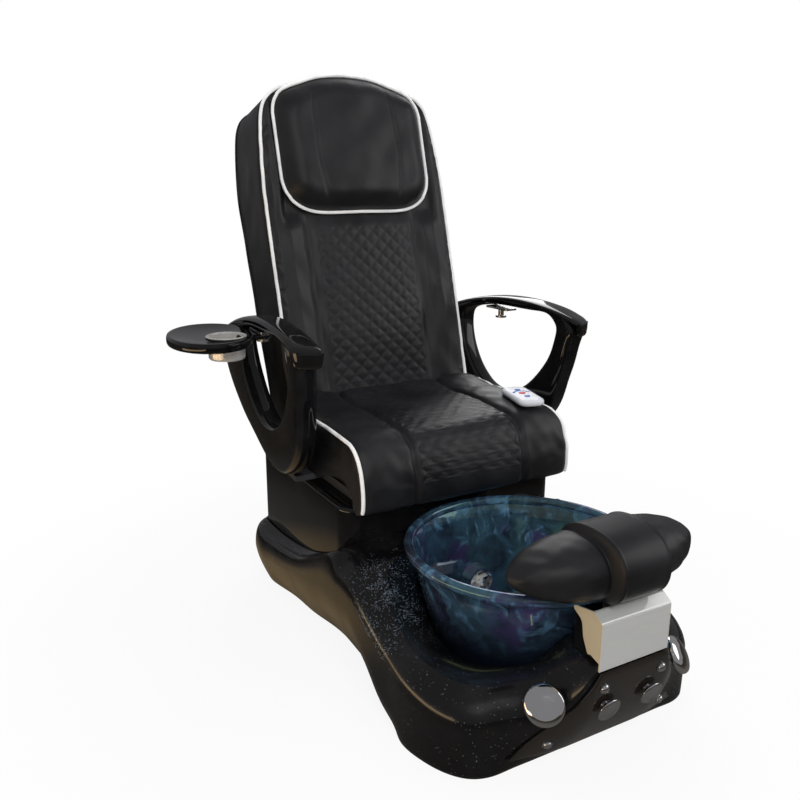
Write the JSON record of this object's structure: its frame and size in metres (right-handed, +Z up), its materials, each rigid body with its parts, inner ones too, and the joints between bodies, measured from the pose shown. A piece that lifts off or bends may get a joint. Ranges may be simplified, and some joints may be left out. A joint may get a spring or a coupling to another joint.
{
  "type": "pedicure spa chair",
  "caption": "Pedicure spa chair with a reclining massage back, sliding seat, shield armrests, cup tray, footrest and a glass foot bowl in a glossy moulded base.",
  "frame": {"origin": "floor level under the middle of the chair, on the underside of the floor board, in the chair's plane of symmetry", "axes": "+Z up, -Y towards the footrest and the client's feet, +X to the client's left"},
  "size_m": [0.9872, 1.4595, 1.3536],
  "materials": {
    "gelcoat": "polished gelcoat over fibreglass",
    "leather": "semi-gloss upholstery leather with pale piping",
    "bowl_glass": "translucent, iridescent blue tint",
    "chrome": "polished chrome",
    "mirror_chrome": "mirror-polished sheet",
    "bright_steel": "brushed",
    "frame_steel": "black powder coat",
    "moulding": "satin moulded",
    "panel_plastic": "glossy moulded",
    "white_plastic": "satin moulded",
    "remote_plastic": "satin moulded",
    "red_key": "satin",
    "blue_key": "satin",
    "board": "plain plywood"
  },
  "bodies": {
    "base": {"floor_board": "board", "base_shell": "gelcoat", "bowl": "bowl_glass", "bowl_stand": "moulding", "drain_body": "chrome", "drain_pipe": "white_plastic", "drain_pump": "moulding", "jet_housing": "chrome", "front_panel": "panel_plastic", "panel_bolt_1": "chrome", "panel_bolt_2": "chrome", "panel_bolt_3": "chrome", "panel_bolt_4": "chrome", "drain_valve": "chrome", "mixer_valve": "chrome", "foot_bracket": "mirror_chrome", "foot_column": "gelcoat", "seat_plinth": "gelcoat", "slide_rail_right": "frame_steel", "slide_rail_left": "frame_steel", "slide_actuator_tube": "frame_steel", "control_box": "moulding"},
    "seat": {"seat_frame": "frame_steel", "seat_cushion": "leather", "slide_actuator_rod": "bright_steel", "recline_pin_right": "bright_steel", "recline_pin_left": "bright_steel", "arm_right": "gelcoat", "arm_left": "gelcoat", "tray_bracket_right": "bright_steel", "tray_bracket_left": "bright_steel", "remote_shell": "remote_plastic"},
    "back": {"back_frame": "frame_steel", "back_shell": "leather", "back_cushion": "leather", "head_pillow": "leather", "massage_track_right": "bright_steel", "massage_track_left": "bright_steel"},
    "recline_tube": {"recline_actuator_tube": "frame_steel"},
    "recline_rod": {"recline_actuator_rod": "bright_steel"},
    "carriage": {"massage_carriage": "frame_steel"},
    "kneader": {"knead_shaft": "bright_steel", "knead_wheel_right": "white_plastic", "knead_wheel_left": "white_plastic"},
    "pad_right": {"arm_pad_right": "gelcoat"},
    "pad_left": {"arm_pad_left": "gelcoat"},
    "tray": {"tray": "gelcoat", "cup_holder": "bright_steel"},
    "foot_lift": {"foot_post": "frame_steel"},
    "footrest": {"foot_hinge_plate": "frame_steel", "foot_cushion": "leather"},
    "jet_button": {"jet_button": "chrome"},
    "drain_button": {"drain_button": "chrome"},
    "drain_knob": {"drain_knob": "chrome"},
    "mixer_knob": {"mixer_knob": "chrome"},
    "drain_plug": {"drain_plug": "chrome"},
    "impeller": {"jet_impeller": "white_plastic"},
    "power_key": {"remote_power_key": "red_key"},
    "up_key": {"remote_up_key": "blue_key"},
    "down_key": {"remote_down_key": "blue_key"}
  },
  "joints": [
    {"name": "seat_slide", "type": "slide", "parent": "base", "child": "seat", "axis": [0, -1, 0], "range_m": [0, 0.15]},
    {"name": "back_recline", "type": "hinge", "parent": "seat", "child": "back", "pos_m": [0, 0.372, 0.436], "axis": [-1, 0, 0], "range_deg": [0, 35]},
    {"name": "recline_tilt", "type": "hinge", "parent": "seat", "child": "recline_tube", "pos_m": [0, 0.132, 0.352], "axis": [1, 0, 0], "range_deg": [0, 4.6]},
    {"name": "recline_stroke", "type": "slide", "parent": "recline_tube", "child": "recline_rod", "axis": [0, -0.9988, 0.0499], "range_m": [0, 0.056]},
    {"name": "massage_travel", "type": "slide", "parent": "back", "child": "carriage", "axis": [0, 0.2756, 0.9613], "range_m": [-0.22, 0.33]},
    {"name": "knead_spin", "type": "hinge", "parent": "carriage", "child": "kneader", "pos_m": [0, 0.4265, 0.8365], "axis": [1, 0, 0], "continuous": true},
    {"name": "arm_pad_right_slide", "type": "hinge", "parent": "seat", "child": "pad_right", "pos_m": [-0.36323, 0.14343, -0.131], "axis": [0.9981, -0.061, 0], "range_deg": [0, 3.5]},
    {"name": "arm_pad_left_slide", "type": "hinge", "parent": "seat", "child": "pad_left", "pos_m": [0.36323, 0.14343, -0.131], "axis": [0.9981, 0.061, 0], "range_deg": [0, 3.5]},
    {"name": "tray_swivel", "type": "hinge", "parent": "seat", "child": "tray", "pos_m": [-0.35698, 0.24554, 0.72], "axis": [0, 0, 1], "range_deg": [0, 25]},
    {"name": "foot_height", "type": "slide", "parent": "base", "child": "foot_lift", "axis": [0, 0, 1], "range_m": [0, 0.05]},
    {"name": "foot_tilt", "type": "hinge", "parent": "foot_lift", "child": "footrest", "pos_m": [0, -0.642, 0.363], "axis": [1, 0, 0], "range_deg": [-4, 5]},
    {"name": "jet_button_push", "type": "slide", "parent": "base", "child": "jet_button", "axis": [0, 0.9557, 0.2942], "range_m": [0, 0.005], "stiffness_N_per_m": 600, "springref_m": -0.004},
    {"name": "drain_button_push", "type": "slide", "parent": "base", "child": "drain_button", "axis": [0, 0.9557, 0.2942], "range_m": [0, 0.005], "stiffness_N_per_m": 600, "springref_m": -0.004},
    {"name": "drain_knob_turn", "type": "hinge", "parent": "base", "child": "drain_knob", "pos_m": [-0.15685, -0.62281, 0.15378], "axis": [-0.503, -0.664, 0.5533], "range_deg": [0, 90]},
    {"name": "drain_plug_lift", "type": "slide", "parent": "base", "child": "drain_plug", "axis": [0, 0, 1], "range_m": [0, 0.01]},
    {"name": "mixer_knob_turn", "type": "hinge", "parent": "base", "child": "mixer_knob", "pos_m": [0.15685, -0.62281, 0.15378], "axis": [0.503, -0.664, 0.5533], "range_deg": [-60, 60]},
    {"name": "impeller_spin", "type": "hinge", "parent": "base", "child": "impeller", "pos_m": [0, -0.15, 0.172], "axis": [0, 1, 0], "continuous": true},
    {"name": "power_key_push", "type": "slide", "parent": "seat", "child": "power_key", "axis": [0, 0, -1], "range_m": [0, 0.0015], "stiffness_N_per_m": 300, "springref_m": -0.001},
    {"name": "up_key_push", "type": "slide", "parent": "seat", "child": "up_key", "axis": [0, 0, -1], "range_m": [0, 0.0015], "stiffness_N_per_m": 300, "springref_m": -0.001},
    {"name": "down_key_push", "type": "slide", "parent": "seat", "child": "down_key", "axis": [0, 0, -1], "range_m": [0, 0.0015], "stiffness_N_per_m": 300, "springref_m": -0.001}
  ],
  "couplings": [
    {"joint": "recline_tilt", "follows": "back_recline", "ratio": 0.1294},
    {"joint": "recline_stroke", "follows": "back_recline", "m_per_rad": 0.0905},
    {"joint": "drain_plug_lift", "follows": "drain_knob_turn", "m_per_rad": 0.006366}
  ]
}
